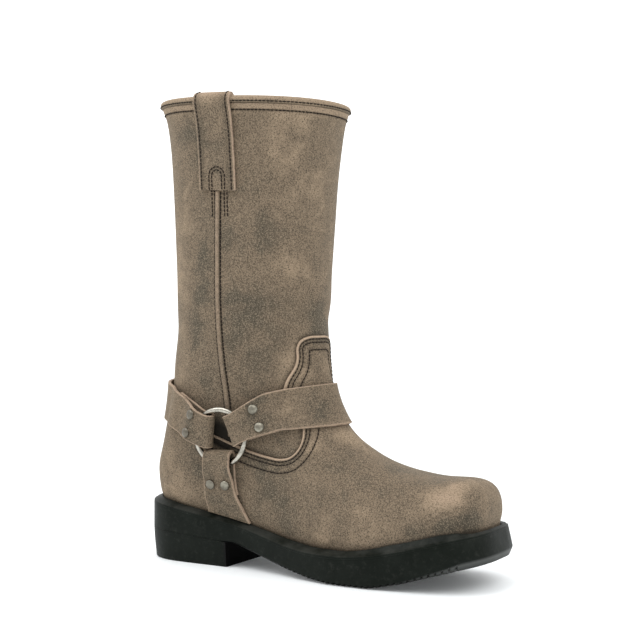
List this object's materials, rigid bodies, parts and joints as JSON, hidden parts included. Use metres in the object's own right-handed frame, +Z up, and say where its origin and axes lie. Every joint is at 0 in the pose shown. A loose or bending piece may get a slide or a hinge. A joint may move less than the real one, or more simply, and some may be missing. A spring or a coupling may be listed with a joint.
{
  "type": "harness boot",
  "caption": "Right pull-on harness boot: hollow square-toed leather upper with a tall flared shaft, ankle straps that meet at steel rings, pull straps, and a rubber sole with a block heel",
  "frame": {"origin": "centre of the bounding box on the floor under the sole", "axes": "+X to the toe, +Y to the wearer's left (the medial side of this right boot), +Z up"},
  "size_m": [0.3072, 0.1334, 0.3739],
  "materials": {
    "leather": "distressed nubuck, grey-brown",
    "leather_edge": "raw cut edge",
    "rubber": "satin black",
    "insole_board": "smooth, matt",
    "steel": "polished wire",
    "nickel": "aged nickel"
  },
  "bodies": {
    "root": {"upper": "leather", "vamp": "leather", "front_strap": "leather", "rear_strap": "leather", "under_strap_inner": "leather", "under_strap_outer": "leather", "pull_strap_inner": "leather", "pull_strap_outer": "leather", "top_binding": "leather", "side_seam_inner": "leather_edge", "side_seam_outer": "leather_edge", "outsole": "rubber", "heel": "rubber", "welt": "rubber", "insole": "insole_board", "ring_inner": "steel", "ring_outer": "steel", "rivet_inner_1": "nickel", "rivet_inner_2": "nickel", "rivet_inner_3": "nickel", "rivet_inner_4": "nickel", "rivet_inner_5": "nickel", "rivet_inner_6": "nickel", "rivet_outer_1": "nickel", "rivet_outer_2": "nickel", "rivet_outer_3": "nickel", "rivet_outer_4": "nickel", "rivet_outer_5": "nickel", "rivet_outer_6": "nickel"}
  },
  "joints": []
}
